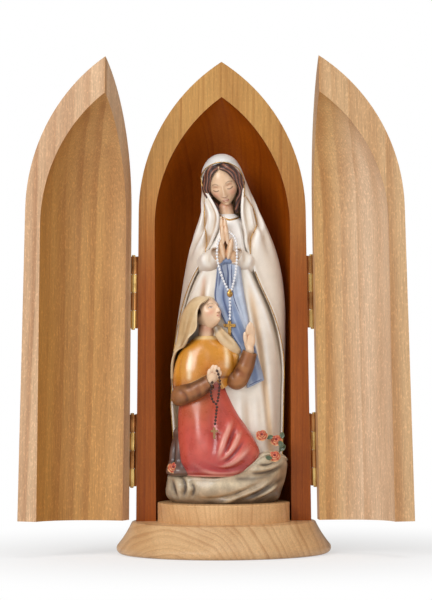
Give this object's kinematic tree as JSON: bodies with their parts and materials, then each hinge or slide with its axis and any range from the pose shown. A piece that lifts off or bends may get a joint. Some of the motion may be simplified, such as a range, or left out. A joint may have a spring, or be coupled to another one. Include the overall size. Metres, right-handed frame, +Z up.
{
  "type": "table shrine",
  "caption": "Turned wooden table shrine: pointed-arch case on a round foot, hinged quarter-shell doors standing open, and a carved, painted figure group on a rock inside.",
  "frame": {"origin": "centre of the round foot's underside", "axes": "+X to the viewer's right, +Y to the back of the case, +Z up; doors at rest stand open as pictured"},
  "size_m": [0.1351, 0.0744, 0.1704],
  "materials": {
    "foot_wood": "clear satin varnish, pale straight grain",
    "case_wood": "clear satin varnish, warm brown",
    "door_wood": "clear satin varnish, honey tan with fine grain",
    "hinge_brass": "polished brass",
    "rock_paint": "carved wood, grey-beige painted, satin",
    "rose_paint": "carved wood, painted red with gold edges",
    "skin_paint": "carved wood, painted, satin",
    "ochre_paint": "carved wood, painted, satin",
    "coral_paint": "carved wood, painted, satin",
    "taupe_paint": "carved wood, painted, satin",
    "brown_paint": "carved wood, painted, satin",
    "beige_paint": "carved wood, painted, satin",
    "ivory_paint": "carved wood, painted, satin",
    "blue_paint": "carved wood, painted, satin",
    "hair_paint": "carved wood, painted, satin",
    "white_beads": "strung white beads with gilt medal and cross",
    "dark_beads": "strung dark brown beads"
  },
  "bodies": {
    "case": {"case_shell": "case_wood", "foot": "foot_wood", "kneeling_far_hand": "skin_paint", "kneeling_far_sleeve": "brown_paint", "kneeling_head": "skin_paint", "kneeling_headscarf": "beige_paint", "kneeling_near_hand": "skin_paint", "kneeling_near_sleeve": "brown_paint", "kneeling_rosary": "dark_beads", "kneeling_shawl": "ochre_paint", "kneeling_skirt": "coral_paint", "kneeling_underskirt": "taupe_paint", "left_lower_hinge_case_leaf": "hinge_brass", "left_lower_hinge_pin": "hinge_brass", "left_upper_hinge_case_leaf": "hinge_brass", "left_upper_hinge_pin": "hinge_brass", "plinth": "foot_wood", "right_lower_hinge_case_leaf": "hinge_brass", "right_lower_hinge_pin": "hinge_brass", "right_upper_hinge_case_leaf": "hinge_brass", "right_upper_hinge_pin": "hinge_brass", "rock": "rock_paint", "roses": "rose_paint", "standing_gown": "ivory_paint", "standing_hair": "hair_paint", "standing_hands": "skin_paint", "standing_head": "skin_paint", "standing_left_sleeve": "ivory_paint", "standing_mantle": "ivory_paint", "standing_right_sleeve": "ivory_paint", "standing_rosary": "white_beads", "standing_sash": "blue_paint"},
    "left_door": {"left_door": "door_wood", "left_lower_hinge_door_leaf": "hinge_brass", "left_upper_hinge_door_leaf": "hinge_brass"},
    "right_door": {"right_door": "door_wood", "right_lower_hinge_door_leaf": "hinge_brass", "right_upper_hinge_door_leaf": "hinge_brass"}
  },
  "joints": [
    {"name": "left_door_hinge", "type": "hinge", "parent": "case", "child": "left_door", "pos_m": [-0.032, -0.0003, 0.011], "axis": [-0.0131, 0, -0.9999], "range_deg": [-108, 72]},
    {"name": "right_door_hinge", "type": "hinge", "parent": "case", "child": "right_door", "pos_m": [0.032, -0.0003, 0.011], "axis": [-0.0131, 0, 0.9999], "range_deg": [-95, 85]}
  ]
}
